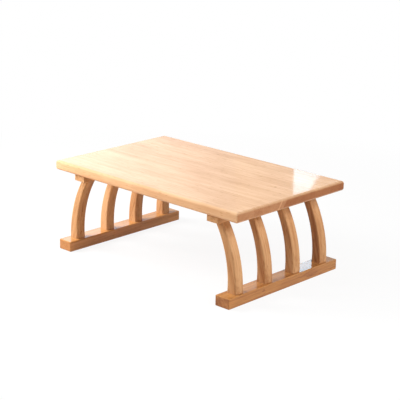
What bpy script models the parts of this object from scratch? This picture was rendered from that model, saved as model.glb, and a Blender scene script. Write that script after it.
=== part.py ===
"""Low tea table: a top of glued-up boards, bolted to two leg frames of curved slats.

X runs along the table, Y from front to back and Z up, in metres.
The origin is on the floor under the middle of the top.
"""

from math import cos, pi, radians, sin, sqrt

import bmesh
import bpy
from mathutils import Vector

# Top, glued up from boards that run along the table
TABLE_HEIGHT = 0.300
TOP_LENGTH = 0.800
TOP_DEPTH = 0.500
TOP_THICKNESS = 0.032
TOP_EDGE_RADIUS = 0.008
TOP_CORNER_RADIUS = 0.002
BOARD_COUNT = 7

# Battens under the top, one for each leg frame
BATTEN_FROM_TOP_END = 0.1055
BATTEN_SETBACK = 0.0095
BATTEN_WIDTH = 0.0465
BATTEN_HEIGHT = 0.021
BATTEN_EDGE_RADIUS = 0.002

# Foot rails on the floor, one for each leg frame
FOOT_FROM_TOP_END = 0.046
FOOT_OVERHANG = 0.039
FOOT_WIDTH = 0.056
FOOT_HEIGHT = 0.034
FOOT_EDGE_RADIUS = 0.003

# Curved slats, which lean in from the foot rail to the batten and taper on the way
SLAT_COUNT = 4
SLAT_WIDTH = 0.035
SLAT_FOOT_THICKNESS = 0.0375
SLAT_HEAD_THICKNESS = 0.0305
SLAT_OUTER_RADIUS = 0.366
SLAT_INNER_RADIUS = 0.338
SLAT_EDGE_RADIUS = 0.006
SLAT_TO_BATTEN_END = 0.024

# Tenons at both ends of each slat, with routed round corners
TENON_THICKNESS = 0.014
TENON_WIDTH = 0.022
TENON_CORNER_RADIUS = 0.004
FOOT_TENON_LENGTH = 0.022
HEAD_TENON_LENGTH = 0.014

# Bolts up through the battens, each with a washer, into threaded inserts in the top
BOLT_DIAMETER = 0.006
BOLT_HEAD_DIAMETER = 0.012
BOLT_HEAD_HEIGHT = 0.004
BOLT_HEAD_CHAMFER = 0.0006
BOLT_HEAD_RECESS = 0.0015
BOLT_TIP_ROOM = 0.0015
SOCKET_WIDTH = 0.004
SOCKET_DEPTH = 0.0025
WASHER_DIAMETER = 0.016
WASHER_THICKNESS = 0.0012
WASHER_ROOM = 0.001
INSERT_DIAMETER = 0.010
INSERT_LENGTH = 0.013
INSERT_CHAMFER = 0.0008

# Gap left between pieces that touch
FIT = 0.0003

# Facets on the round forms
CURVE_STEPS = 12
CORNER_STEPS = 3
CIRCLE_POINTS = 18
SMOOTH_ANGLE = radians(35)

# Finishes: colour, roughness and metallic
BOARD_TONES = ((0.76, 0.43, 0.20), (0.71, 0.38, 0.165), (0.80, 0.47, 0.225))
FRAME_WOOD = (0.66, 0.30, 0.10)
STEEL = (0.55, 0.55, 0.56)
BRASS = (0.72, 0.55, 0.26)
WOOD_ROUGHNESS = 0.35
STEEL_ROUGHNESS = 0.32
BRASS_ROUGHNESS = 0.30

# Heights worked up from the floor and down from the top
TOP_UNDERSIDE = TABLE_HEIGHT - TOP_THICKNESS
BATTEN_TOP = TOP_UNDERSIDE - FIT
BATTEN_BOTTOM = BATTEN_TOP - BATTEN_HEIGHT
SLAT_BOTTOM = FOOT_HEIGHT + FIT
SLAT_TOP = BATTEN_BOTTOM - FIT

# Places of the leg frames along the table, worked out from the top's ends
BATTEN_X = TOP_LENGTH / 2 - BATTEN_FROM_TOP_END
FOOT_X = TOP_LENGTH / 2 - FOOT_FROM_TOP_END

# Lengths and pitches worked out from the top's depth
BATTEN_LENGTH = TOP_DEPTH - 2 * BATTEN_SETBACK
SLAT_SPAN = BATTEN_LENGTH - 2 * SLAT_TO_BATTEN_END
SLAT_PITCH = (SLAT_SPAN - SLAT_WIDTH) / (SLAT_COUNT - 1)
FOOT_LENGTH = SLAT_SPAN + 2 * FOOT_OVERHANG
BOARD_PITCH = TOP_DEPTH / BOARD_COUNT

# The bolt's stack under and inside the batten, from its head up to its tip
COUNTERBORE_DEPTH = BOLT_HEAD_RECESS + BOLT_HEAD_HEIGHT + WASHER_THICKNESS + 2 * FIT
HEAD_BOTTOM = BATTEN_BOTTOM + BOLT_HEAD_RECESS
HEAD_TOP = HEAD_BOTTOM + BOLT_HEAD_HEIGHT
WASHER_BOTTOM = HEAD_TOP + FIT
WASHER_TOP = WASHER_BOTTOM + WASHER_THICKNESS
COUNTERBORE_FLOOR = BATTEN_BOTTOM + COUNTERBORE_DEPTH
INSERT_TOP = TOP_UNDERSIDE + INSERT_LENGTH
BOLT_TIP = INSERT_TOP - BOLT_TIP_ROOM

# Where the slats and bolts stand along each frame
SLAT_PLACES = [(index - (SLAT_COUNT - 1) / 2) * SLAT_PITCH for index in range(SLAT_COUNT)]
BOLT_PLACES = [(front + back) / 2 for front, back in zip(SLAT_PLACES, SLAT_PLACES[1:])]
SIDES = (("left", -1), ("right", 1))


def clear_scene():
    for item in list(bpy.data.objects):
        bpy.data.objects.remove(item, do_unlink=True)


def make_material(name, colour, roughness, metallic=0.0):
    material = bpy.data.materials.new(name)
    material.use_nodes = True
    shader = material.node_tree.nodes["Principled BSDF"]
    shader.inputs["Base Color"].default_value = (*colour, 1.0)
    shader.inputs["Roughness"].default_value = roughness
    shader.inputs["Metallic"].default_value = metallic
    return material


def make_object(name, shape, material=None):
    """A named object from a bmesh, with its round faces shaded smooth."""
    bmesh.ops.recalc_face_normals(shape, faces=shape.faces)
    mesh = bpy.data.meshes.new(name)
    shape.to_mesh(mesh)
    shape.free()
    mesh.shade_smooth()
    mesh.set_sharp_from_angle(angle=SMOOTH_ANGLE)
    if material:
        mesh.materials.append(material)
    return place_mesh(name, mesh)


def place_mesh(name, mesh, location=(0.0, 0.0, 0.0), turn=0.0):
    item = bpy.data.objects.new(name, mesh)
    item.location = location
    item.rotation_euler.z = turn
    bpy.context.scene.collection.objects.link(item)
    return item


def box(size, centre):
    shape = bmesh.new()
    bmesh.ops.create_cube(shape, size=1.0)
    bmesh.ops.scale(shape, vec=size, verts=shape.verts)
    bmesh.ops.translate(shape, vec=centre, verts=shape.verts)
    return shape


def round_edges(shape, edges, radius):
    bmesh.ops.bevel(
        shape,
        geom=edges,
        offset=radius,
        segments=CORNER_STEPS,
        profile=0.5,
        affect="EDGES",
    )


def add_loft(shape, loops, ring=False):
    """Adds a skin over loops of points, with caps on its ends, or joined up as a ring."""
    rows = [[shape.verts.new(point) for point in loop] for loop in loops]
    pairs = list(zip(rows, rows[1:]))
    if ring:
        pairs.append((rows[-1], rows[0]))
    else:
        shape.faces.new(rows[0])
        shape.faces.new(rows[-1])
    for low, high in pairs:
        for index in range(len(low)):
            after = (index + 1) % len(low)
            shape.faces.new((low[index], low[after], high[after], high[index]))


def loft(loops, ring=False):
    shape = bmesh.new()
    add_loft(shape, loops, ring)
    return shape


def circle(radius, z, x=0.0, y=0.0):
    turns = [2 * pi * index / CIRCLE_POINTS for index in range(CIRCLE_POINTS)]
    return [Vector((x + radius * cos(turn), y + radius * sin(turn), z)) for turn in turns]


def hexagon(width, z):
    """Points along a hexagon of this width across its flats, as many as on a circle."""
    points = []
    for point in circle(1.0, z):
        facing = max(
            point.x * cos(side * pi / 3 + pi / 6) + point.y * sin(side * pi / 3 + pi / 6)
            for side in range(6)
        )
        points.append(Vector((point.x * width / 2 / facing, point.y * width / 2 / facing, z)))
    return points


def rounded_rectangle(inner_x, outer_x, width, radius, z, y=0.0):
    """Points round a level section from inner_x to outer_x, centred on y."""
    corners = (
        (outer_x - radius, width / 2 - radius, 0),
        (inner_x + radius, width / 2 - radius, 1),
        (inner_x + radius, radius - width / 2, 2),
        (outer_x - radius, radius - width / 2, 3),
    )
    points = []
    for x, offset, quarter in corners:
        for step in range(CORNER_STEPS + 1):
            turn = (quarter + step / CORNER_STEPS) * pi / 2
            points.append(Vector((x + radius * cos(turn), y + offset + radius * sin(turn), z)))
    return points


def cut(item, cutter):
    modifier = item.modifiers.new(cutter.name, "BOOLEAN")
    modifier.operation = "DIFFERENCE"
    modifier.solver = "EXACT"
    modifier.object = cutter


def make_cutter(name, shape):
    cutter = make_object(name, shape)
    cutter.hide_render = True
    cutter.display_type = "WIRE"
    return cutter


def arc_x(z, foot, head, radius):
    """Where an arc that bulges outwards, through two points (x, z), stands at this height."""
    chord = Vector(head) - Vector(foot)
    middle = (Vector(head) + Vector(foot)) / 2
    reach = sqrt(radius**2 - (chord.length / 2) ** 2)
    centre = middle + Vector((-chord.y, chord.x)).normalized() * reach
    return centre.x + sqrt(radius**2 - (z - centre.y) ** 2)


def tenon_section(centre_x, z, clearance=0.0, y=0.0):
    return rounded_rectangle(
        centre_x - TENON_THICKNESS / 2 - clearance,
        centre_x + TENON_THICKNESS / 2 + clearance,
        TENON_WIDTH + 2 * clearance,
        TENON_CORNER_RADIUS + clearance,
        z,
        y,
    )


def slat_section(z):
    faces = []
    for side, radius in ((-1, SLAT_INNER_RADIUS), (1, SLAT_OUTER_RADIUS)):
        foot = (FOOT_X + side * SLAT_FOOT_THICKNESS / 2, SLAT_BOTTOM)
        head = (BATTEN_X + side * SLAT_HEAD_THICKNESS / 2, SLAT_TOP)
        faces.append(arc_x(z, foot, head, radius))
    return rounded_rectangle(faces[0], faces[1], SLAT_WIDTH, SLAT_EDGE_RADIUS, z)


def make_slats(material):
    """Eight copies of one slat: the left frame's are turned half round."""
    heights = [
        SLAT_BOTTOM + (SLAT_TOP - SLAT_BOTTOM) * step / CURVE_STEPS
        for step in range(CURVE_STEPS + 1)
    ]
    loops = [
        tenon_section(FOOT_X, SLAT_BOTTOM - FOOT_TENON_LENGTH),
        tenon_section(FOOT_X, SLAT_BOTTOM),
        *[slat_section(z) for z in heights],
        tenon_section(BATTEN_X, SLAT_TOP),
        tenon_section(BATTEN_X, SLAT_TOP + HEAD_TENON_LENGTH),
    ]
    pattern = make_object("slat_pattern", loft(loops), material)
    for side, sign in SIDES:
        for number, y in enumerate(SLAT_PLACES, start=1):
            turn = 0.0 if sign > 0 else pi
            place_mesh(f"{side}_slat_{number}", pattern.data, (0.0, y, 0.0), turn)
    bpy.data.objects.remove(pattern)


def make_foot_rail(side, sign, material):
    centre_x = sign * FOOT_X
    shape = box((FOOT_WIDTH, FOOT_LENGTH, FOOT_HEIGHT), (centre_x, 0.0, FOOT_HEIGHT / 2))
    round_edges(shape, shape.edges[:], FOOT_EDGE_RADIUS)
    rail = make_object(f"{side}_foot_rail", shape, material)
    mortises = bmesh.new()
    floor = SLAT_BOTTOM - FOOT_TENON_LENGTH - FIT
    for y in SLAT_PLACES:
        add_loft(
            mortises,
            [
                tenon_section(centre_x, floor, FIT, y),
                tenon_section(centre_x, FOOT_HEIGHT + TENON_WIDTH, FIT, y),
            ],
        )
    cut(rail, make_cutter(f"{side}_foot_mortises", mortises))


def make_batten(side, sign, material):
    centre_x = sign * BATTEN_X
    centre = (centre_x, 0.0, BATTEN_TOP - BATTEN_HEIGHT / 2)
    shape = box((BATTEN_WIDTH, BATTEN_LENGTH, BATTEN_HEIGHT), centre)
    round_edges(shape, shape.edges[:], BATTEN_EDGE_RADIUS)
    batten = make_object(f"{side}_batten", shape, material)
    holes = bmesh.new()
    ceiling = SLAT_TOP + HEAD_TENON_LENGTH + FIT
    for y in SLAT_PLACES:
        add_loft(
            holes,
            [
                tenon_section(centre_x, BATTEN_BOTTOM - TENON_WIDTH, FIT, y),
                tenon_section(centre_x, ceiling, FIT, y),
            ],
        )
    wide = WASHER_DIAMETER / 2 + WASHER_ROOM
    narrow = BOLT_DIAMETER / 2 + FIT
    for y in BOLT_PLACES:
        add_loft(
            holes,
            [
                circle(wide, BATTEN_BOTTOM - COUNTERBORE_DEPTH, centre_x, y),
                circle(wide, COUNTERBORE_FLOOR, centre_x, y),
                circle(narrow, COUNTERBORE_FLOOR, centre_x, y),
                circle(narrow, BATTEN_TOP + COUNTERBORE_DEPTH, centre_x, y),
            ],
        )
    cut(batten, make_cutter(f"{side}_batten_holes", holes))


def make_insert_holes():
    shape = bmesh.new()
    radius = INSERT_DIAMETER / 2 + FIT
    for _, sign in SIDES:
        for y in BOLT_PLACES:
            x = sign * BATTEN_X
            below = circle(radius, TOP_UNDERSIDE - INSERT_LENGTH, x, y)
            above = circle(radius, INSERT_TOP + FIT, x, y)
            add_loft(shape, [below, above])
    return make_cutter("insert_holes", shape)


def edge_weight(first, second):
    """How far the edge between two corners of a board is rounded, as a share of the top's edge radius."""
    at_end = min(abs(first.x), abs(second.x)) > TOP_LENGTH / 2 - FIT
    at_side = min(abs(first.y), abs(second.y)) > TOP_DEPTH / 2 - FIT
    upright = abs(first.z - second.z) > FIT
    lengthwise = abs(first.x - second.x) > FIT
    if upright:
        return TOP_CORNER_RADIUS / TOP_EDGE_RADIUS if at_end and at_side else 0.0
    if lengthwise:
        return 1.0 if at_side else 0.0
    return 1.0 if at_end else 0.0


def round_outside(board):
    """Rounds the edges of a board that lie on the outside of the top, its upright corners less."""
    mesh = board.data
    weights = mesh.attributes.new("bevel_weight_edge", "FLOAT", "EDGE")
    for edge in mesh.edges:
        first, second = (mesh.vertices[index].co for index in edge.vertices)
        weights.data[edge.index].value = edge_weight(first, second)
    modifier = board.modifiers.new("round_outside", "BEVEL")
    modifier.limit_method = "WEIGHT"
    modifier.width = TOP_EDGE_RADIUS
    modifier.segments = CORNER_STEPS


def make_top_boards(materials):
    """Boards edge to edge, front to back, with the top's round edge on their outsides."""
    holes = make_insert_holes()
    for index in range(BOARD_COUNT):
        front = index * BOARD_PITCH - TOP_DEPTH / 2
        back = front + BOARD_PITCH
        if index > 0:
            front += FIT / 2
        if index < BOARD_COUNT - 1:
            back -= FIT / 2
        middle_z = TABLE_HEIGHT - TOP_THICKNESS / 2
        centre = (0.0, (front + back) / 2, middle_z)
        shape = box((TOP_LENGTH, back - front, TOP_THICKNESS), centre)
        board = make_object(f"top_board_{index + 1}", shape, materials[index % len(materials)])
        round_outside(board)
        cut(board, holes)


def bolt_shape():
    """Cap head with a hexagon socket below, then the plain shank up to its tip."""
    head = BOLT_HEAD_DIAMETER / 2
    shank = BOLT_DIAMETER / 2
    return loft(
        [
            hexagon(SOCKET_WIDTH, HEAD_BOTTOM + SOCKET_DEPTH),
            hexagon(SOCKET_WIDTH, HEAD_BOTTOM),
            circle(head - BOLT_HEAD_CHAMFER, HEAD_BOTTOM),
            circle(head, HEAD_BOTTOM + BOLT_HEAD_CHAMFER),
            circle(head, HEAD_TOP),
            circle(shank, HEAD_TOP),
            circle(shank, BOLT_TIP - BOLT_HEAD_CHAMFER),
            circle(shank - BOLT_HEAD_CHAMFER, BOLT_TIP),
        ]
    )


def washer_shape():
    outer = WASHER_DIAMETER / 2
    bore = BOLT_DIAMETER / 2 + FIT
    return loft(
        [
            circle(outer, WASHER_BOTTOM),
            circle(outer, WASHER_TOP),
            circle(bore, WASHER_TOP),
            circle(bore, WASHER_BOTTOM),
        ],
        ring=True,
    )


def insert_shape():
    outer = INSERT_DIAMETER / 2
    bore = BOLT_DIAMETER / 2 + FIT
    return loft(
        [
            circle(outer, TOP_UNDERSIDE),
            circle(outer, INSERT_TOP - INSERT_CHAMFER),
            circle(outer - INSERT_CHAMFER, INSERT_TOP),
            circle(bore, INSERT_TOP),
            circle(bore, TOP_UNDERSIDE),
        ],
        ring=True,
    )


def make_fasteners(steel, brass):
    """A bolt, a washer and a threaded insert in every bay between two slats."""
    patterns = (
        ("bolt", bolt_shape(), steel),
        ("washer", washer_shape(), steel),
        ("threaded_insert", insert_shape(), brass),
    )
    for kind, shape, material in patterns:
        pattern = make_object(f"{kind}_pattern", shape, material)
        for side, sign in SIDES:
            for number, y in enumerate(BOLT_PLACES, start=1):
                place = (sign * BATTEN_X, y, 0.0)
                place_mesh(f"{side}_{kind}_{number}", pattern.data, place)
        bpy.data.objects.remove(pattern)


def build_table():
    clear_scene()
    boards = [
        make_material(f"top_board_wood_{number}", tone, WOOD_ROUGHNESS)
        for number, tone in enumerate(BOARD_TONES, start=1)
    ]
    make_top_boards(boards)
    batten_wood = make_material("batten_wood", FRAME_WOOD, WOOD_ROUGHNESS)
    foot_wood = make_material("foot_rail_wood", FRAME_WOOD, WOOD_ROUGHNESS)
    for side, sign in SIDES:
        make_batten(side, sign, batten_wood)
        make_foot_rail(side, sign, foot_wood)
    make_slats(make_material("slat_wood", FRAME_WOOD, WOOD_ROUGHNESS))
    make_fasteners(
        make_material("bolt_steel", STEEL, STEEL_ROUGHNESS, 1.0),
        make_material("insert_brass", BRASS, BRASS_ROUGHNESS, 1.0),
    )


build_table()
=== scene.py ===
"""Looks of a low tea table: fine shapes, wood and metal finishes, studio and camera.

All sizes are in metres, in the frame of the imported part.
X runs along the table, Y from front to back and Z up from the floor.
"""

from collections import namedtuple
from math import cos, hypot, pi, radians, sin, sqrt

import bmesh
import bpy
from mathutils import Matrix, Vector


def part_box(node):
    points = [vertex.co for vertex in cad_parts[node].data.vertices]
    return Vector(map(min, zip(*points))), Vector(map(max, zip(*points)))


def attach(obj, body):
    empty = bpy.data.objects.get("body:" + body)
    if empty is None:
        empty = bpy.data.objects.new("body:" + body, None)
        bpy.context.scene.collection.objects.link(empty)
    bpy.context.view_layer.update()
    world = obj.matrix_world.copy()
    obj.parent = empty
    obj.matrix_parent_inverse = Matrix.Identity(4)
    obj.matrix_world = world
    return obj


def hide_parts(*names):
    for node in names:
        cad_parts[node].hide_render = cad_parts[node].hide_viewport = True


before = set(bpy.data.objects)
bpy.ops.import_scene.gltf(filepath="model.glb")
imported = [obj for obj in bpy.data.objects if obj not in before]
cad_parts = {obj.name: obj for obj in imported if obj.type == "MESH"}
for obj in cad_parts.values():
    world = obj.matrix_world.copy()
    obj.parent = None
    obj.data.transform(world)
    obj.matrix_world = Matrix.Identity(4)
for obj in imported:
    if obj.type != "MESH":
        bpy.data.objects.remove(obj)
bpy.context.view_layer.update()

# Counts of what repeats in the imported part
BOARD_COUNT = 7
SLAT_COUNT = 4
BOLT_COUNT = 3
SIDES = ("left", "right")

# Rounding of the wooden edges
TOP_EDGE_RADIUS = 0.008
TOP_CORNER_RADIUS = 0.002
BATTEN_EDGE_RADIUS = 0.002
FOOT_EDGE_RADIUS = 0.003
SLAT_EDGE_RADIUS = 0.006
SEAM_RADIUS = 0.00012
QUARTER_CIRCLE = 0.5

# Steps that curves are made in
ROUND_STEPS = 7
SEAM_STEPS = 2
CURVE_STEPS = 44
CIRCLE_POINTS = 36
HEXAGON_SIDES = 6
THREAD_ROWS = 6
SMOOTH_ANGLE = radians(35)

# Gaps between pieces: where two faces touch, and round what sits in a hole
HAIRLINE = 0.00002
FIT = 0.0003

# Points of a packed slat that are this near in height lie on one level
SAME_LEVEL = 0.00003
LEVEL_DIGITS = 5

# Tenons and fastenings
TENON_CORNER_RADIUS = 0.004
BOLT_DIAMETER = 0.006
BOLT_HEAD_HEIGHT = 0.004
BOLT_HEAD_CHAMFER = 0.0006
SOCKET_WIDTH = 0.004
SOCKET_DEPTH = 0.0025
BOLT_THREAD_PITCH = 0.001
BOLT_THREAD_DEPTH = 0.0005
COUNTERBORE_ROOM = 0.001
WASHER_CHAMFER = 0.0002
INSERT_THREAD_PITCH = 0.0025
INSERT_THREAD_DEPTH = 0.0007
INSERT_CHAMFER = 0.0008
INSERT_TIP_CHAMFER = 0.0004

# Camera of the photograph, fitted to the table's outline
CAMERA_AZIMUTH = radians(43.405)
CAMERA_ELEVATION = radians(16.951)
CAMERA_ROLL = radians(1.021)
CAMERA_DISTANCE = 4.0189
CAMERA_TARGET = Vector((-0.0011, 0.0182, 0.1959))
CAMERA_SENSOR = 36.0
CAMERA_LENS = 111.68
CAMERA_ACROSS = Vector((cos(CAMERA_AZIMUTH), sin(CAMERA_AZIMUTH), 0.0))
CAMERA_AWAY = Vector((-sin(CAMERA_AZIMUTH), cos(CAMERA_AZIMUTH), 0.0))

# How much the lacquer darkens the end grain
END_DEPTH_BOARD = 0.955
END_DEPTH_RAIL = 0.5
END_DEPTH_BATTEN = 0.1

# How much darker than usual the wood of each piece is, with the slats from front to back.
# For the boards this is their own tone. For the rails, battens and slats it is partly their own tone
# and partly painted light and shade: the pieces on the left, where the light comes from, are made paler,
# and those on the right, where the slats behind the first stand in shade, darker.
BOARD_TONES = (-0.5, 0.5)
RAIL_TONES_AND_LIGHT = {"left": -1.5, "right": 0.9}
BATTEN_TONES_AND_LIGHT = {"left": -1.2, "right": -0.8}
SLAT_TONES_AND_LIGHT = {"left": (-0.2, -0.9, -0.1, -0.1), "right": (-0.6, 0.5, 0.3, 0.7)}

# The log that each slat is sawn from, chosen so that its streaks fall as they do in the photograph
SLAT_LOGS = {"left": (137, 130, 19, 4), "right": (37, 126, 23, 72)}

# Sapwood, which is paler, by how far from the log's pith it starts in a board
ALL_SAPWOOD = -1.0
NO_SAPWOOD = 1.0
SAPWOOD = {1: ALL_SAPWOOD, 2: ALL_SAPWOOD, 3: 0.12, 4: 0.12}

# Where the middle of a board lies from the pith, across the log and up. Boards 3 and 4 share a log.
PITHS = {3: (-0.1276, 0.0757), 4: (-0.0562, 0.0757)}

# Where in its log a piece may lie: along it, and across and up from the pith.
# The place up is that of a piece further on by skip, so that it doesn't follow the place across.
Sawn = namedtuple("Sawn", "along across up skip")
BOARD_SAWN = Sawn(along=(0.0, 9.0), across=(-0.05, 0.05), up=(0.035, 0.11), skip=4)
RAIL_SAWN = Sawn(along=(10.0, 19.0), across=(0.03, 0.09), up=(-0.06, 0.06), skip=3)
SLAT_SAWN = Sawn(along=(20.0, 29.0), across=(-0.05, 0.05), up=(0.04, 0.1), skip=5)
GOLDEN = (sqrt(5) - 1) / 2

# How squarely the middle of an arris faces as each of the two faces beside it do
ARRIS_FACING = sqrt(0.5)

Log = namedtuple("Log", "origin along across start pith tone end_depth sapwood")
Tenon = namedtuple("Tenon", "low_x high_x low_y high_y level")


# Shapes

def box_shape(low, high):
    shape = bmesh.new()
    bmesh.ops.create_cube(shape, size=1.0)
    for vert in shape.verts:
        vert.co = [top if side > 0 else bottom for bottom, top, side in zip(low, high, vert.co)]
    return shape


def round_edges(shape, edges, radius, steps=ROUND_STEPS):
    bmesh.ops.bevel(
        shape,
        geom=edges,
        offset=radius,
        segments=steps,
        profile=QUARTER_CIRCLE,
        affect="EDGES",
    )


def add_loft(shape, loops, ring=False):
    """Adds a skin over loops of points, with caps on its ends, or joined up as a ring."""
    rows = [[shape.verts.new(point) for point in loop] for loop in loops]
    pairs = list(zip(rows, rows[1:]))
    if ring:
        pairs.append((rows[-1], rows[0]))
    else:
        shape.faces.new(rows[0])
        shape.faces.new(rows[-1])
    for low, high in pairs:
        for index in range(len(low)):
            after = (index + 1) % len(low)
            shape.faces.new((low[index], low[after], high[after], high[index]))


def loft(loops, ring=False):
    shape = bmesh.new()
    add_loft(shape, loops, ring)
    return shape


def circle(radius, z, x=0.0, y=0.0):
    turns = [2 * pi * index / CIRCLE_POINTS for index in range(CIRCLE_POINTS)]
    return [Vector((x + radius * cos(turn), y + radius * sin(turn), z)) for turn in turns]


def hexagon(width, z, x, y):
    """Points along a hexagon of this width across its flats, as many as on a circle."""
    flats = [2 * pi * (side + 0.5) / HEXAGON_SIDES for side in range(HEXAGON_SIDES)]
    points = []
    for spoke in circle(1.0, z):
        facing = max(spoke.x * cos(flat) + spoke.y * sin(flat) for flat in flats)
        reach = width / 2 / facing
        points.append(Vector((x + spoke.x * reach, y + spoke.y * reach, z)))
    return points


def thread(root, crest, pitch, low, high, x, y):
    """Loops up a screw thread, whose ridge climbs one pitch in each turn."""
    count = round((high - low) / pitch * THREAD_ROWS)
    loops = []
    for row in range(count + 1):
        z = low + (high - low) * row / count
        loop = []
        for index in range(CIRCLE_POINTS):
            share = index / CIRCLE_POINTS
            ridge = abs(2 * ((z / pitch - share) % 1.0) - 1)
            radius = root + (crest - root) * ridge
            turn = 2 * pi * share
            loop.append(Vector((x + radius * cos(turn), y + radius * sin(turn), z)))
        loops.append(loop)
    return loops


def rounded_rectangle(low_x, high_x, low_y, high_y, radius, z):
    corners = (
        (high_x - radius, high_y - radius),
        (low_x + radius, high_y - radius),
        (low_x + radius, low_y + radius),
        (high_x - radius, low_y + radius),
    )
    points = []
    for quarter, (x, y) in enumerate(corners):
        for step in range(ROUND_STEPS + 1):
            turn = (quarter + step / ROUND_STEPS) * pi / 2
            points.append(Vector((x + radius * cos(turn), y + radius * sin(turn), z)))
    return points


def lend(shape):
    """Hands a shape to a passing object, for a modifier to work on."""
    bmesh.ops.recalc_face_normals(shape, faces=shape.faces)
    mesh = bpy.data.meshes.new("passing")
    shape.to_mesh(mesh)
    shape.free()
    item = bpy.data.objects.new("passing", mesh)
    bpy.context.scene.collection.objects.link(item)
    return item


def take_back(item):
    """The shape of a passing object as its modifier leaves it. The object goes."""
    shape = bmesh.new()
    shape.from_object(item, bpy.context.evaluated_depsgraph_get())
    discard(item)
    return shape


def discard(item):
    mesh = item.data
    bpy.data.objects.remove(item)
    bpy.data.meshes.remove(mesh)


def cut(shape, holes):
    """The first shape less the second, as a new shape."""
    body = lend(shape)
    tool = lend(holes)
    modifier = body.modifiers.new("cut", "BOOLEAN")
    modifier.operation = "DIFFERENCE"
    modifier.solver = "EXACT"
    modifier.object = tool
    result = take_back(body)
    discard(tool)
    return result


def round_by_weight(shape, radius, weight):
    """A new shape with its edges rounded by this radius times the weight of each edge."""
    body = lend(shape)
    mesh = body.data
    weights = mesh.attributes.new("bevel_weight_edge", "FLOAT", "EDGE")
    for edge in mesh.edges:
        first, second = (mesh.vertices[index].co for index in edge.vertices)
        weights.data[edge.index].value = weight(first, second)
    modifier = body.modifiers.new("round", "BEVEL")
    modifier.limit_method = "WEIGHT"
    modifier.width = radius
    modifier.segments = ROUND_STEPS
    return take_back(body)


# Pieces

def make_piece(name, shape, material):
    """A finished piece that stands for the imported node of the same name."""
    bmesh.ops.recalc_face_normals(shape, faces=shape.faces)
    mesh = bpy.data.meshes.new(name)
    shape.to_mesh(mesh)
    shape.free()
    mesh.shade_smooth()
    mesh.set_sharp_from_angle(angle=SMOOTH_ANGLE)
    mesh.materials.append(material)
    piece = bpy.data.objects.new(f"fine_{name}", mesh)
    bpy.context.scene.collection.objects.link(piece)
    normals = piece.modifiers.new("even_faces", "WEIGHTED_NORMAL")
    normals.keep_sharp = True
    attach(piece, "root")
    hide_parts(name)
    return piece


def write_grain(piece, log):
    """Stores on a piece where its points lie in the log that it was sawn from, for its material."""
    mesh = piece.data
    through = log.along.cross(log.across)
    grain = []
    end_grain = []
    arris = []
    for vert in mesh.vertices:
        place = vert.co - log.origin
        grain += (
            place.dot(log.along) + log.start,
            place.dot(log.across) + log.pith[0],
            place.dot(through) + log.pith[1],
        )
        facing = [abs(vert.normal.dot(axis)) for axis in (log.along, log.across, through)]
        end_grain.append(facing[0] ** 2 * log.end_depth)
        arris.append((1 - max(facing)) / (1 - ARRIS_FACING))
    count = len(mesh.vertices)
    mesh.attributes.new("grain", "FLOAT_VECTOR", "POINT").data.foreach_set("vector", grain)
    for name, values in (
        ("end_grain", end_grain),
        ("arris", arris),
        ("tone", [log.tone] * count),
        ("sapwood", [log.sapwood] * count),
    ):
        mesh.attributes.new(name, "FLOAT", "POINT").data.foreach_set("value", values)


def spread(index, low, high):
    """Values that differ well from piece to piece, the same in each run."""
    return low + (high - low) * (index * GOLDEN % 1.0)


def from_pith(index, sawn):
    """Where the middle of a piece lies from the pith of its log, across and up."""
    return spread(index, *sawn.across), spread(index + sawn.skip, *sawn.up)


def make_boards(material):
    """Boards glued edge to edge, with the top's round edge on their outsides."""
    boxes = [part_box(f"top_board_{number}") for number in range(1, BOARD_COUNT + 1)]
    front = boxes[0][0].y
    pitch = (boxes[-1][1].y - front) / BOARD_COUNT
    for index, (low, high) in enumerate(boxes):
        number = index + 1
        seams = []
        if number > 1:
            low.y = front + index * pitch + HAIRLINE / 2
            seams.append(low.y)
        if number < BOARD_COUNT:
            high.y = front + number * pitch - HAIRLINE / 2
            seams.append(high.y)
        shape = round_by_weight(box_shape(low, high), TOP_EDGE_RADIUS, outside_weight)
        round_edges(shape, seam_edges(shape, seams), SEAM_RADIUS, SEAM_STEPS)
        shape = cut(shape, insert_holes())
        piece = make_piece(f"top_board_{number}", shape, material)
        write_grain(piece, board_log(low, high, index))


def board_log(low, high, index):
    """A board is sawn along X."""
    number = index + 1
    return Log(
        origin=(low + high) / 2,
        along=Vector((1, 0, 0)),
        across=Vector((0, 1, 0)),
        start=spread(index, *BOARD_SAWN.along),
        pith=PITHS.get(number, from_pith(index, BOARD_SAWN)),
        tone=spread(index, *BOARD_TONES),
        end_depth=END_DEPTH_BOARD,
        sapwood=SAPWOOD.get(number, NO_SAPWOOD),
    )


def outside_weight(first, second):
    """1 for a level edge on the outside of the top, less for its upright corners, 0 for the seams."""
    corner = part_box("top_board_1")[0]
    at_end = min(abs(first.x), abs(second.x)) > abs(corner.x) - FIT
    at_side = min(abs(first.y), abs(second.y)) > abs(corner.y) - FIT
    if abs(first.z - second.z) > FIT:
        return TOP_CORNER_RADIUS / TOP_EDGE_RADIUS if at_end and at_side else 0.0
    lengthwise = abs(first.x - second.x) > FIT
    return 1.0 if (at_side if lengthwise else at_end) else 0.0


def seam_edges(shape, seams):
    chosen = []
    for edge in shape.edges:
        first, second = (vert.co for vert in edge.verts)
        if any(abs(first.y - seam) + abs(second.y - seam) < HAIRLINE for seam in seams):
            chosen.append(edge)
    return chosen


def insert_holes():
    shape = bmesh.new()
    for side in SIDES:
        for number in range(1, BOLT_COUNT + 1):
            low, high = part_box(f"{side}_threaded_insert_{number}")
            x, y = middle_xy(low, high)
            radius = (high.x - low.x) / 2 + FIT
            depth = high.z - low.z
            add_loft(shape, [circle(radius, low.z - depth, x, y), circle(radius, high.z + FIT, x, y)])
    return shape


def middle_xy(low, high):
    return (low.x + high.x) / 2, (low.y + high.y) / 2


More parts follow.
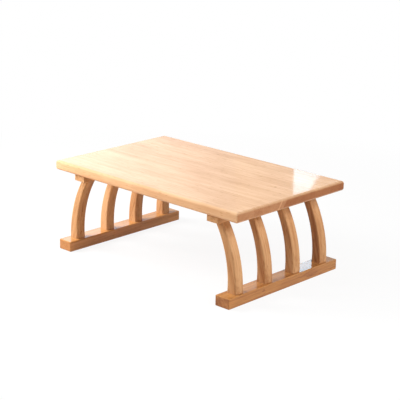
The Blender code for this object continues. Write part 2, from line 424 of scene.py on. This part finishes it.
def make_foot_rail(side, index, material):
    name = f"{side}_foot_rail"
    low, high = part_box(name)
    shape = box_shape(low, high)
    round_edges(shape, shape.edges[:], FOOT_EDGE_RADIUS)
    mortises = bmesh.new()
    for number in range(1, SLAT_COUNT + 1):
        tenon = foot_tenon(f"{side}_slat_{number}")
        add_loft(mortises, [widened(tenon, FIT, tenon.level - FIT), widened(tenon, FIT, high.z + FIT)])
    piece = make_piece(name, cut(shape, mortises), material)
    write_grain(piece, rail_log(low, high, index, RAIL_TONES_AND_LIGHT[side], END_DEPTH_RAIL))


def rail_log(low, high, index, tone, end_depth):
    """A rail or batten is sawn along Y, well away from the middle of its log."""
    return Log(
        origin=(low + high) / 2,
        along=Vector((0, 1, 0)),
        across=Vector((1, 0, 0)),
        start=spread(index, *RAIL_SAWN.along),
        pith=from_pith(index, RAIL_SAWN),
        tone=tone,
        end_depth=end_depth,
        sapwood=NO_SAPWOOD,
    )


def make_batten(side, index, material):
    name = f"{side}_batten"
    low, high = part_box(name)
    high.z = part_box("top_board_1")[0].z - HAIRLINE
    shape = box_shape(low, high)
    round_edges(shape, shape.edges[:], BATTEN_EDGE_RADIUS)
    holes = bmesh.new()
    for number in range(1, SLAT_COUNT + 1):
        tenon = head_tenon(f"{side}_slat_{number}")
        add_loft(holes, [widened(tenon, FIT, low.z - FIT), widened(tenon, FIT, tenon.level + FIT)])
    for number in range(1, BOLT_COUNT + 1):
        add_loft(holes, bolt_hole(side, number, low.z, high.z))
    piece = make_piece(name, cut(shape, holes), material)
    write_grain(piece, rail_log(low, high, index, BATTEN_TONES_AND_LIGHT[side], END_DEPTH_BATTEN))


def bolt_hole(side, number, bottom, top):
    """Loops of a bolt's hole through a batten, wide below for its head and washer."""
    low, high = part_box(f"{side}_washer_{number}")
    x, y = middle_xy(low, high)
    wide = (high.x - low.x) / 2 + COUNTERBORE_ROOM
    narrow = BOLT_DIAMETER / 2 + FIT
    return [
        circle(wide, bottom - FIT, x, y),
        circle(wide, high.z + FIT, x, y),
        circle(narrow, high.z + FIT, x, y),
        circle(narrow, top + FIT, x, y),
    ]


def slat_points(name):
    return [vert.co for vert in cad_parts[name].data.vertices]


def foot_tenon(name):
    points = slat_points(name)
    return tenon_at(points, min(point.z for point in points))


def head_tenon(name):
    points = slat_points(name)
    return tenon_at(points, max(point.z for point in points))


def tenon_at(points, level):
    """The section and level of a slat's tenon, read at its end."""
    end = [point for point in points if abs(point.z - level) < FIT]
    return Tenon(
        low_x=min(point.x for point in end),
        high_x=max(point.x for point in end),
        low_y=min(point.y for point in end),
        high_y=max(point.y for point in end),
        level=level,
    )


def widened(tenon, room, z):
    return rounded_rectangle(
        tenon.low_x - room,
        tenon.high_x + room,
        tenon.low_y - room,
        tenon.high_y + room,
        TENON_CORNER_RADIUS + room,
        z,
    )


def circle_through(points):
    """Centre and radius of the circle through three points (x, z)."""
    (ax, az), (bx, bz), (cx, cz) = points
    turn = 2 * (ax * (bz - cz) + bx * (cz - az) + cx * (az - bz))
    a, b, c = ax**2 + az**2, bx**2 + bz**2, cx**2 + cz**2
    x = (a * (bz - cz) + b * (cz - az) + c * (az - bz)) / turn
    z = (a * (cx - bx) + b * (ax - cx) + c * (bx - ax)) / turn
    return x, z, hypot(ax - x, az - z)


def slat_faces(points, bottom, top):
    """The circles that a slat's two curved faces follow, the one with the lower X first."""
    body = [point for point in points if bottom - FIT < point.z < top + FIT]
    levels = sorted({round(point.z, LEVEL_DIGITS) for point in body})
    chosen = (levels[0], levels[len(levels) // 2], levels[-1])
    faces = []
    for pick in (min, max):
        places = []
        for level in chosen:
            row = [point.x for point in body if abs(point.z - level) < SAME_LEVEL]
            places.append((pick(row), level))
        faces.append(circle_through(places))
    return faces


def make_slat(side, number, material):
    """A curved slat between its foot rail and batten, with a tenon on each end."""
    name = f"{side}_slat_{number}"
    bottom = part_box(f"{side}_foot_rail")[1].z
    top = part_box(f"{side}_batten")[0].z
    faces = slat_faces(slat_points(name), bottom, top)
    bulge = 1 if side == "right" else -1
    low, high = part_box(name)
    bottom += HAIRLINE
    top -= HAIRLINE
    loops = []
    for step in range(CURVE_STEPS + 1):
        z = bottom + (top - bottom) * step / CURVE_STEPS
        low_x, high_x = [x + bulge * sqrt(radius**2 - (z - height) ** 2) for x, height, radius in faces]
        loops.append(rounded_rectangle(low_x, high_x, low.y, high.y, SLAT_EDGE_RADIUS, z))
    foot = foot_tenon(name)
    head = head_tenon(name)
    foot_loops = [widened(foot, 0.0, foot.level), widened(foot, 0.0, bottom)]
    head_loops = [widened(head, 0.0, top), widened(head, 0.0, head.level)]
    piece = make_piece(name, loft(foot_loops + loops + head_loops), material)
    start = Vector(((foot.low_x + foot.high_x) / 2, (low.y + high.y) / 2, bottom))
    finish = Vector(((head.low_x + head.high_x) / 2, start.y, top))
    write_grain(piece, slat_log(side, number, start, finish))


def slat_log(side, number, start, finish):
    """A slat is sawn along the straight line between the middles of its ends."""
    index = SLAT_LOGS[side][number - 1]
    return Log(
        origin=start,
        along=(finish - start).normalized(),
        across=Vector((0, 1, 0)),
        start=spread(index, *SLAT_SAWN.along),
        pith=from_pith(index, SLAT_SAWN),
        tone=SLAT_TONES_AND_LIGHT[side][number - 1],
        end_depth=END_DEPTH_RAIL,
        sapwood=NO_SAPWOOD,
    )


def make_bolt(side, number, material):
    """A cap screw with a hexagon socket below and a thread up to its tip."""
    name = f"{side}_bolt_{number}"
    low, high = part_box(name)
    x, y = middle_xy(low, high)
    head = (high.x - low.x) / 2
    crest = BOLT_DIAMETER / 2
    root = crest - BOLT_THREAD_DEPTH
    head_top = low.z + BOLT_HEAD_HEIGHT
    thread_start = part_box(f"{side}_batten")[1].z
    tip = high.z - BOLT_HEAD_CHAMFER
    loops = [
        hexagon(SOCKET_WIDTH, low.z + SOCKET_DEPTH, x, y),
        hexagon(SOCKET_WIDTH, low.z, x, y),
        circle(head - BOLT_HEAD_CHAMFER, low.z, x, y),
        circle(head, low.z + BOLT_HEAD_CHAMFER, x, y),
        circle(head, head_top, x, y),
        circle(crest, head_top, x, y),
        circle(crest, thread_start - BOLT_THREAD_PITCH, x, y),
        *thread(root, crest, BOLT_THREAD_PITCH, thread_start, tip, x, y),
        circle(root - BOLT_HEAD_CHAMFER, high.z, x, y),
    ]
    make_piece(name, loft(loops), material)


def make_washer(side, number, material):
    name = f"{side}_washer_{number}"
    low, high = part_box(name)
    x, y = middle_xy(low, high)
    outer = (high.x - low.x) / 2
    bore = BOLT_DIAMETER / 2 + FIT
    loops = [
        circle(bore, low.z, x, y),
        circle(outer - WASHER_CHAMFER, low.z, x, y),
        circle(outer, low.z + WASHER_CHAMFER, x, y),
        circle(outer, high.z - WASHER_CHAMFER, x, y),
        circle(outer - WASHER_CHAMFER, high.z, x, y),
        circle(bore, high.z, x, y),
    ]
    make_piece(name, loft(loops, ring=True), material)


def make_insert(side, number, material):
    """A threaded insert: a coarse thread outside for the wood, and a bore for the bolt."""
    name = f"{side}_threaded_insert_{number}"
    low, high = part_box(name)
    x, y = middle_xy(low, high)
    crest = (high.x - low.x) / 2
    root = crest - INSERT_THREAD_DEPTH
    bore = BOLT_DIAMETER / 2 + FIT
    loops = [
        circle(bore, low.z, x, y),
        circle(crest - INSERT_CHAMFER, low.z, x, y),
        *thread(root, crest, INSERT_THREAD_PITCH, low.z + FIT, high.z - INSERT_CHAMFER, x, y),
        circle(root - INSERT_TIP_CHAMFER, high.z, x, y),
        circle(bore, high.z, x, y),
    ]
    make_piece(name, loft(loops, ring=True), material)


# Materials

class Graph:
    """A material's nodes, added and linked in short calls."""

    def __init__(self, name):
        self.material = bpy.data.materials.new(name)
        self.material.use_nodes = True
        self.tree = self.material.node_tree
        self.shader = self.tree.nodes["Principled BSDF"]

    def put(self, socket, value):
        """Sets an input to a number or colour, or links it to another node's output."""
        if isinstance(value, bpy.types.NodeSocket):
            self.tree.links.new(value, socket)
        else:
            socket.default_value = value

    def set(self, **inputs):
        for name, value in inputs.items():
            self.put(self.shader.inputs[name.replace("_", " ")], value)

    def attribute(self, name, output="Fac"):
        node = self.tree.nodes.new("ShaderNodeAttribute")
        node.attribute_name = name
        return node.outputs[output]

    def place(self):
        return self.tree.nodes.new("ShaderNodeTexCoord").outputs["Object"]

    def vector_math(self, operation, first, second=None, output="Vector"):
        node = self.tree.nodes.new("ShaderNodeVectorMath")
        node.operation = operation
        self.put(node.inputs[0], first)
        if second is not None:
            self.put(node.inputs[1], second)
        return node.outputs[output]

    def math(self, operation, first, second=None):
        node = self.tree.nodes.new("ShaderNodeMath")
        node.operation = operation
        self.put(node.inputs[0], first)
        if second is not None:
            self.put(node.inputs[1], second)
        return node.outputs[0]

    def noise(self, place, detail, scale=1.0):
        node = self.tree.nodes.new("ShaderNodeTexNoise")
        self.put(node.inputs["Vector"], place)
        node.inputs["Scale"].default_value = scale
        node.inputs["Detail"].default_value = detail
        return node.outputs["Fac"]

    def layer(self, grain, kind):
        """A layer of noise that is stretched along the grain."""
        place = self.vector_math("MULTIPLY", grain, (kind.along, kind.across, kind.across))
        noise = self.noise(place, kind.detail)
        return self.remap(noise, kind.low, kind.high, kind.least, kind.most)

    def total(self, first, *others):
        for other in others:
            first = self.math("ADD", first, other)
        return first

    def remap(self, value, low, high, new_low=0.0, new_high=1.0):
        node = self.tree.nodes.new("ShaderNodeMapRange")
        for socket, number in zip(node.inputs, (value, low, high, new_low, new_high)):
            self.put(socket, number)
        return node.outputs["Result"]

    def ramp(self, value, stops):
        node = self.tree.nodes.new("ShaderNodeValToRGB")
        points = node.color_ramp.elements
        while len(points) < len(stops):
            points.new(1.0)
        for point, (position, colour) in zip(points, stops):
            point.position = position
            point.color = (*colour, 1.0)
        self.put(node.inputs["Fac"], value)
        return node.outputs["Color"]

    def mix(self, share, first, second, blend="MIX"):
        node = self.tree.nodes.new("ShaderNodeMix")
        node.data_type = "RGBA"
        node.blend_type = blend
        self.put(node.inputs["Factor"], share)
        self.put(node.inputs["A"], first)
        self.put(node.inputs["B"], second)
        return node.outputs["Result"]

    def bump(self, height, strength, distance):
        node = self.tree.nodes.new("ShaderNodeBump")
        node.inputs["Strength"].default_value = strength
        node.inputs["Distance"].default_value = distance
        self.put(node.inputs["Height"], height)
        return node.outputs["Normal"]


# Growth rings, by their width in metres and how dark each is from its inside to its outside
RING_WIDTH = 0.009
RING_WANDER = 0.03
RING_SHIFT = 0.7
RING_PROFILE = ((0.0, 0.0), (0.5, 0.12), (0.84, 0.75), (0.93, 1.0), (1.0, 0.0))
RING_DEPTH = 0.2

# Noise in the log, by its counts per metre along and across the grain, and what it adds to the darkness
Layer = namedtuple("Layer", "along across detail low high least most")
WANDER = Layer(along=2.0, across=6.0, detail=2.0, low=0.0, high=1.0, least=-RING_WANDER, most=RING_WANDER)
STREAK = Layer(along=2.0, across=80.0, detail=4.0, low=0.36, high=0.64, least=-0.23, most=0.23)
CLOUD = Layer(along=6.0, across=18.0, detail=2.0, low=0.35, high=0.65, least=0.07, most=0.33)
FIBRE = Layer(along=14.0, across=500.0, detail=2.0, low=0.25, high=0.75, least=-0.08, most=0.18)
PORE = Layer(along=40.0, across=360.0, detail=0.0, low=0.69, high=0.80, least=0.0, most=0.42)

# What the tone of a piece, with the painted light and shade it carries on the frame, and its sapwood do to
# the darkness, and the sapwood to the end grain
TONE_DEPTH = 0.16
SAPWOOD_EDGE = 0.002
SAPWOOD_DEPTH = -0.02
SAPWOOD_END = 0.79

# A pale line in the end grain, beyond the edge of the sapwood
PALE_LINE_PLACE = 0.018
PALE_LINE_WIDTH = 0.004
PALE_LINE_END = 0.5

# The one small knot, in the face of the top
KNOT_PLACE = (0.2976, 0.0383, 0.3)
KNOT_RADIUS = 0.006
KNOT_DEPTH = 0.9

# Darkness at which the two middle colours of a wood are reached
HONEY_AT = 0.35
TAN_AT = 0.65

# Surface of the wood and the clear lacquer on it
# Share by which the rounded edges turn paler: partly rubbed wear, partly a painted highlight like the one
# rounded edges catch in the lacquer
ARRIS_WEAR_AND_HIGHLIGHT = 0.35
WOOD_ROUGHNESS = (0.36, 0.46)
WOOD_SPECULAR = 0.08
WOOD_BUMP = 0.25
WOOD_BUMP_HEIGHT = 0.0002
LACQUER_ROUGHNESS = 0.06
LACQUER_IOR = 1.5

Wood = namedtuple("Wood", "name figure coat pale honey tan brown end arris")
TOP_WOOD = Wood(
    name="top_wood",
    figure=0.5,
    coat=0.42,
    pale=(0.86, 0.55, 0.32),
    honey=(0.75, 0.437, 0.233),
    tan=(0.63, 0.333, 0.158),
    brown=(0.40, 0.19, 0.08),
    end=(0.32, 0.145, 0.03),
    arris=(0.82, 0.54, 0.32),
)
# The slats and battens, and the rails below them, are the same wood as the top, with darker, redder
# colours: painted shade, for the shade that falls beneath the top
SHADED_SLAT_WOOD = Wood(
    name="slat_wood",
    figure=1.0,
    coat=0.2,
    pale=(0.66, 0.39, 0.20),
    honey=(0.56, 0.303, 0.142),
    tan=(0.44, 0.20, 0.08),
    brown=(0.27, 0.10, 0.035),
    end=(0.62, 0.45, 0.38),
    arris=(0.71, 0.44, 0.225),
)
SHADED_RAIL_WOOD = Wood(
    name="shaded_rail_wood",
    figure=1.1,
    coat=0.65,
    pale=(0.61, 0.295, 0.10),
    honey=(0.50, 0.222, 0.06),
    tan=(0.40, 0.16, 0.043),
    brown=(0.25, 0.08, 0.02),
    end=(0.74, 0.62, 0.62),
    arris=(0.68, 0.37, 0.15),
)


def wood(kind):
    """Clear lacquered wood: rings, sapwood, streaks, fibres and pores, worked out inside the log."""
    graph = Graph(kind.name)
    grain = graph.attribute("grain", "Vector")
    fibre = graph.layer(grain, FIBRE)
    pore = graph.layer(grain, PORE)
    crosswise = graph.vector_math("MULTIPLY", grain, (0, 1, 1))
    radius = graph.vector_math("LENGTH", crosswise, output="Value")
    beyond = graph.math("SUBTRACT", radius, graph.attribute("sapwood"))
    dark = graph.total(
        rings_and_streaks(graph, grain, radius, kind.figure),
        graph.layer(grain, CLOUD),
        fibre,
        pore,
        # Each piece's tone; on the rails, battens and slats it also carries painted light and shade
        graph.math("MULTIPLY", graph.attribute("tone"), TONE_DEPTH),
        graph.remap(beyond, -SAPWOOD_EDGE, SAPWOOD_EDGE, 0.0, SAPWOOD_DEPTH),
        knot(graph),
    )
    stops = [(0.0, kind.pale), (HONEY_AT, kind.honey), (TAN_AT, kind.tan), (1.0, kind.brown)]
    colour = graph.ramp(dark, stops)
    colour = graph.mix(end_grain_share(graph, beyond), colour, (*kind.end, 1.0), "MULTIPLY")
    # Paler rounded edges: wear together with a painted highlight
    worn_and_lit = graph.math("MULTIPLY", graph.attribute("arris"), ARRIS_WEAR_AND_HIGHLIGHT)
    graph.set(
        Base_Color=graph.mix(worn_and_lit, colour, (*kind.arris, 1.0)),
        Roughness=graph.remap(graph.total(fibre, pore), FIBRE.least, FIBRE.most, *WOOD_ROUGHNESS),
        Normal=graph.bump(graph.math("SUBTRACT", fibre, pore), WOOD_BUMP, WOOD_BUMP_HEIGHT),
        Specular_IOR_Level=WOOD_SPECULAR,
        Coat_Weight=kind.coat,
        Coat_Roughness=LACQUER_ROUGHNESS,
        Coat_IOR=LACQUER_IOR,
    )
    return graph.material


def rings_and_streaks(graph, grain, radius, strength):
    """Darkness of the growth rings and of the streaks, which push the rings about."""
    streak = graph.layer(grain, STREAK)
    bent = graph.math("DIVIDE", graph.math("ADD", radius, graph.layer(grain, WANDER)), RING_WIDTH)
    uneven = graph.math("ADD", bent, graph.math("MULTIPLY", streak, RING_SHIFT / STREAK.most))
    ring = graph.ramp(graph.math("FRACT", uneven), [(at, (late, late, late)) for at, late in RING_PROFILE])
    return graph.total(
        graph.math("MULTIPLY", ring, RING_DEPTH * strength),
        graph.math("MULTIPLY", streak, strength),
    )


def knot(graph):
    distance = graph.vector_math("DISTANCE", graph.place(), KNOT_PLACE, output="Value")
    return graph.remap(distance, KNOT_RADIUS, 0.0, 0.0, KNOT_DEPTH)


def end_grain_share(graph, beyond):
    """How far the end grain darkens: less in the sapwood, and least along its pale line."""
    heart = graph.remap(beyond, -SAPWOOD_EDGE, SAPWOOD_EDGE, 1.0, SAPWOOD_END)
    from_line = graph.math("ABSOLUTE", graph.math("SUBTRACT", beyond, PALE_LINE_PLACE))
    line = graph.remap(from_line, 0.0, PALE_LINE_WIDTH, PALE_LINE_END, 1.0)
    return graph.math("MULTIPLY", graph.attribute("end_grain"), graph.math("MULTIPLY", heart, line))


# Metals, by their two tones, and the counts per metre of their mottle and of the fine lines in them
Metal = namedtuple("Metal", "name dull bright mottle lines smooth rough bump bump_height")
ZINC_PLATE = Metal(
    name="zinc_plate",
    dull=(0.50, 0.51, 0.53),
    bright=(0.63, 0.63, 0.62),
    mottle=900.0,
    lines=(400.0, 6000.0, 400.0),
    smooth=0.24,
    rough=0.42,
    bump=0.15,
    bump_height=0.00003,
)
TURNED_BRASS = Metal(
    name="turned_brass",
    dull=(0.62, 0.45, 0.19),
    bright=(0.76, 0.59, 0.29),
    mottle=500.0,
    lines=(60.0, 60.0, 5000.0),
    smooth=0.22,
    rough=0.38,
    bump=0.2,
    bump_height=0.00004,
)
MOTTLE_DETAIL = 3.0
DULL_AT = 0.3
BRIGHT_AT = 0.7
LINE_DETAIL = 1.0
LINE_RANGE = (0.2, 0.8)


def metal(kind):
    """Bare metal with a faint mottle, and fine lines from scratches or the lathe."""
    graph = Graph(kind.name)
    place = graph.place()
    mottle = graph.noise(place, MOTTLE_DETAIL, kind.mottle)
    lines = graph.noise(graph.vector_math("MULTIPLY", place, kind.lines), LINE_DETAIL)
    graph.set(
        Base_Color=graph.ramp(mottle, [(DULL_AT, kind.dull), (BRIGHT_AT, kind.bright)]),
        Roughness=graph.remap(lines, *LINE_RANGE, kind.smooth, kind.rough),
        Normal=graph.bump(lines, kind.bump, kind.bump_height),
        Metallic=1.0,
    )
    return graph.material


# Studio

FLOOR_SIZE = 40.0
FLOOR_DROP = 0.0002
FLOOR_BOUNCE = (0.57, 0.40, 0.24, 1.0)
FLOOR_LIFT = 0.9
FLOOR_NEAR = 0.7
FLOOR_FAR = 1.8
FILL_COLOUR = (1.0, 0.84, 0.66, 1.0)
FILL_LEVEL = 0.03
WHITE = (1.0, 1.0, 1.0, 1.0)

Lamp = namedtuple("Lamp", "name place aim width height power")
LAMPS = (
    Lamp("key", place=(-1.54, -1.03, 1.18), aim=(-0.1, -0.05, 0.2), width=1.2, height=1.2, power=81.0),
    Lamp("overhead", place=(-0.6, 0.1, 2.1), aim=(-0.2, 0.0, 0.3), width=1.6, height=1.2, power=9.0),
    Lamp("side", place=(1.75, 0.13, 1.3), aim=(0.35, 0.0, 0.15), width=1.6, height=0.8, power=23.0),
    Lamp("low", place=(2.0, 0.0, 0.42), aim=(-0.3, 0.0, 0.1), width=1.6, height=0.5, power=10.5),
)

# Cards behind the table, which only show as reflections in its lacquer, by place and height
CARD_BEHIND = 2.5
WINDOW_CORNERS = ((0.507, 0.93), (0.68, 0.93), (0.59, 1.11), (0.507, 1.13))
WINDOW_LEVELS = (6.6, 6.2)
WINDOW_COLOUR = (0.55, 0.82, 1.0, 1.0)
GLOW_CORNERS = ((-0.8, 0.76), (0.2, 0.76), (0.2, 1.26), (-0.8, 1.26))
GLOW_LEVELS = (3.0, 1.0)
GLOW_COLOUR = (0.75, 0.88, 1.0, 1.0)


def seen_directly(tree):
    """1 for rays from the camera, a reflection or a glass, and 0 for the rays that carry light."""
    path = tree.nodes.new("ShaderNodeLightPath")
    total = path.outputs["Is Camera Ray"]
    for kind in ("Is Glossy Ray", "Is Transmission Ray"):
        node = tree.nodes.new("ShaderNodeMath")
        node.operation = "MAXIMUM"
        tree.links.new(total, node.inputs[0])
        tree.links.new(path.outputs[kind], node.inputs[1])
        total = node.outputs[0]
    return total


def make_world():
    """Faint warm light from all round, which shows as plain white where it is seen."""
    world = bpy.data.worlds.new("studio")
    world.use_nodes = True
    tree = world.node_tree
    fill = tree.nodes["Background"]
    fill.inputs["Color"].default_value = FILL_COLOUR
    fill.inputs["Strength"].default_value = FILL_LEVEL
    shown = tree.nodes.new("ShaderNodeBackground")
    shown.inputs["Color"].default_value = WHITE
    shown.inputs["Strength"].default_value = 1.0
    mix = tree.nodes.new("ShaderNodeMixShader")
    tree.links.new(seen_directly(tree), mix.inputs["Fac"])
    tree.links.new(fill.outputs[0], mix.inputs[1])
    tree.links.new(shown.outputs[0], mix.inputs[2])
    tree.links.new(mix.outputs[0], tree.nodes["World Output"].inputs["Surface"])
    bpy.context.scene.world = world


def make_floor():
    """A pale floor that keeps the table's shadow and, where it is seen, fades to plain white."""
    graph = Graph("floor")
    seen = seen_directly(graph.tree)
    graph.set(Base_Color=graph.mix(seen, FLOOR_BOUNCE, WHITE), Roughness=1.0, Specular_IOR_Level=0.0)
    distance = graph.vector_math("LENGTH", graph.place(), output="Value")
    lift = graph.math("MULTIPLY", seen, graph.remap(distance, FLOOR_NEAR, FLOOR_FAR, FLOOR_LIFT, 1.0))
    glow = graph.tree.nodes.new("ShaderNodeEmission")
    glow.inputs["Color"].default_value = WHITE
    mix = graph.tree.nodes.new("ShaderNodeMixShader")
    graph.put(mix.inputs["Fac"], lift)
    graph.put(mix.inputs[1], graph.shader.outputs[0])
    graph.put(mix.inputs[2], glow.outputs[0])
    graph.put(graph.tree.nodes["Material Output"].inputs["Surface"], mix.outputs[0])
    shape = bmesh.new()
    bmesh.ops.create_grid(shape, x_segments=1, y_segments=1, size=FLOOR_SIZE / 2)
    mesh = bpy.data.meshes.new("floor")
    shape.to_mesh(mesh)
    shape.free()
    mesh.materials.append(graph.material)
    floor = bpy.data.objects.new("floor", mesh)
    floor.location.z = -FLOOR_DROP
    bpy.context.scene.collection.objects.link(floor)


def make_lamps():
    for lamp in LAMPS:
        light = bpy.data.lights.new(lamp.name, "AREA")
        light.shape = "RECTANGLE"
        light.size = lamp.width
        light.size_y = lamp.height
        light.energy = lamp.power
        item = bpy.data.objects.new(lamp.name, light)
        item.location = lamp.place
        item.rotation_euler = (Vector(lamp.aim) - Vector(lamp.place)).to_track_quat("-Z", "Y").to_euler()
        item.visible_camera = False
        item.visible_glossy = False
        bpy.context.scene.collection.objects.link(item)


def make_card(name, corners, levels, colour):
    """An upright sheet of light behind the table, whose level runs from its left to its right side."""
    graph = Graph(name)
    graph.tree.nodes.remove(graph.shader)
    glow = graph.tree.nodes.new("ShaderNodeEmission")
    graph.put(glow.inputs["Color"], colour)
    graph.put(glow.inputs["Strength"], graph.attribute("level"))
    graph.put(graph.tree.nodes["Material Output"].inputs["Surface"], glow.outputs[0])
    shape = bmesh.new()
    behind = CAMERA_AWAY * CARD_BEHIND
    points = [behind + CAMERA_ACROSS * along + Vector((0, 0, height)) for along, height in corners]
    shape.faces.new([shape.verts.new(point) for point in points])
    mesh = bpy.data.meshes.new(name)
    shape.to_mesh(mesh)
    shape.free()
    level = mesh.attributes.new("level", "FLOAT", "POINT")
    sides = [along for along, _ in corners]
    for index, along in enumerate(sides):
        share = (along - min(sides)) / (max(sides) - min(sides))
        level.data[index].value = levels[0] + (levels[1] - levels[0]) * share
    mesh.materials.append(graph.material)
    card = bpy.data.objects.new(name, mesh)
    card.visible_camera = False
    card.visible_diffuse = False
    card.visible_shadow = False
    bpy.context.scene.collection.objects.link(card)


def make_camera():
    back = Vector((0, 0, sin(CAMERA_ELEVATION))) - CAMERA_AWAY * cos(CAMERA_ELEVATION)
    upward = back.cross(CAMERA_ACROSS)
    right = cos(CAMERA_ROLL) * CAMERA_ACROSS + sin(CAMERA_ROLL) * upward
    camera = bpy.data.cameras.new("camera")
    camera.sensor_width = CAMERA_SENSOR
    camera.lens = CAMERA_LENS
    item = bpy.data.objects.new("camera", camera)
    turn = Matrix((right, back.cross(right), back)).transposed()
    item.matrix_world = Matrix.Translation(CAMERA_TARGET + back * CAMERA_DISTANCE) @ turn.to_4x4()
    bpy.context.scene.collection.objects.link(item)
    bpy.context.scene.camera = item


def dress_table():
    make_boards(wood(TOP_WOOD))
    # The frame's woods are darker copies of the top's wood: painted shade
    slat_wood = wood(SHADED_SLAT_WOOD)
    shaded_rail_wood = wood(SHADED_RAIL_WOOD)
    steel = metal(ZINC_PLATE)
    brass = metal(TURNED_BRASS)
    for index, side in enumerate(SIDES):
        make_foot_rail(side, index, shaded_rail_wood)
        make_batten(side, index + len(SIDES), slat_wood)
        for number in range(1, SLAT_COUNT + 1):
            make_slat(side, number, slat_wood)
        for number in range(1, BOLT_COUNT + 1):
            make_bolt(side, number, steel)
            make_washer(side, number, steel)
            make_insert(side, number, brass)


dress_table()
make_world()
make_floor()
make_lamps()
make_card("window", WINDOW_CORNERS, WINDOW_LEVELS, WINDOW_COLOUR)
make_card("glow", GLOW_CORNERS, GLOW_LEVELS, GLOW_COLOUR)
make_camera()
bpy.context.scene.view_settings.view_transform = "Standard"
